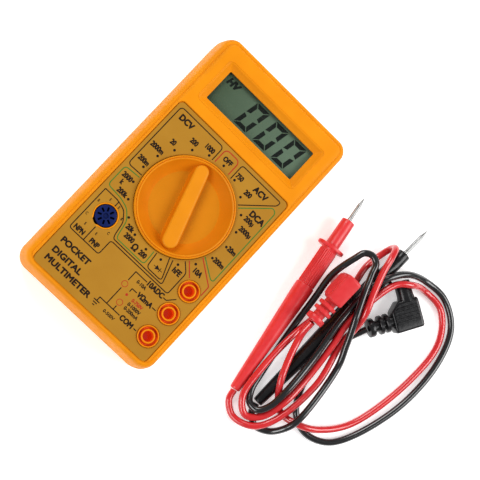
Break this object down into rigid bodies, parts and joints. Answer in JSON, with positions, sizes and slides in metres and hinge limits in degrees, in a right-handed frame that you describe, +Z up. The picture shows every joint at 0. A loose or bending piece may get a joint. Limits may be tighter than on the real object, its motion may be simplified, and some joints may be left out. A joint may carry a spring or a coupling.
{
  "type": "digital multimeter",
  "caption": "Pocket digital multimeter in a yellow case, lying on its back, with a rotary selector, input jacks, a transistor socket and a red and a black test lead beside it.",
  "frame": {"origin": "under the middle of the meter's case, on the surface it lies on", "axes": "+X to the right of the front face, +Y towards the display, +Z up out of the front face"},
  "size_m": [0.166, 0.1293, 0.027],
  "materials": {
    "case_yellow": "moulded ABS, satin",
    "label_ochre": "printed film, satin",
    "window_clear": "clear acrylic, polished",
    "lcd_green": "liquid crystal display, grey-green",
    "white_plastic": "moulded, matt",
    "grey_plastic": "dipped, matt",
    "steel": "nickel plated, bright",
    "brass": "turned or stamped, bright",
    "copper": "bare resistance wire",
    "board_tan": "paper laminate with green mask",
    "socket_blue": "moulded, satin",
    "fuse_glass": "clear tube",
    "battery_black": "printed jacket, plain",
    "black_plastic": "moulded, satin",
    "resistor_tan": "lacquered",
    "red_plastic": "moulded PVC, satin",
    "red_cable": "PVC insulation, satin",
    "black_cable": "PVC insulation, satin"
  },
  "bodies": {
    "meter": {"battery_9v": "battery_black", "battery_clip": "black_plastic", "battery_wire_black": "black_cable", "battery_wire_red": "red_cable", "black_cable": "black_cable", "black_plug_body": "black_plastic", "black_plug_pin": "brass", "black_probe_handle": "black_plastic", "black_probe_tip": "steel", "board_screw_1": "steel", "board_screw_2": "steel", "board_screw_3": "steel", "calibration_trimmer": "socket_blue", "case_screw_1": "steel", "case_screw_2": "steel", "case_screw_3": "steel", "chip_blob": "black_plastic", "circuit_board": "board_tan", "display_window": "window_clear", "faceplate_label": "label_ochre", "film_capacitor": "grey_plastic", "filter_capacitor": "black_plastic", "front_case": "case_yellow", "fuse_cap_a": "steel", "fuse_cap_b": "steel", "fuse_clip_a": "brass", "fuse_clip_b": "brass", "fuse_glass": "fuse_glass", "jack_tube_10adc": "brass", "jack_tube_com": "brass", "jack_tube_vohmma": "brass", "lcd_holder": "white_plastic", "lcd_panel": "lcd_green", "rear_case": "case_yellow", "red_cable": "red_cable", "red_plug_body": "red_plastic", "red_plug_pin": "brass", "red_probe_handle": "red_plastic", "red_probe_tip": "steel", "resistor_1": "resistor_tan", "resistor_2": "resistor_tan", "resistor_3": "resistor_tan", "shunt_wire": "copper", "transistor_socket": "socket_blue", "zebra_strip": "grey_plastic"},
    "selector": {"selector_knob": "case_yellow", "detent_ball_a": "steel", "detent_ball_b": "steel", "detent_spring_a": "steel", "detent_spring_b": "steel", "contact_wiper_1": "brass", "contact_wiper_2": "brass", "contact_wiper_3": "brass", "contact_wiper_4": "brass", "contact_wiper_5": "brass", "contact_wiper_6": "brass"}
  },
  "joints": [
    {"name": "selector_turn", "type": "hinge", "parent": "meter", "child": "selector", "pos_m": [0, -0.0032, 0.02], "axis": [0, 0, 1], "continuous": true}
  ]
}
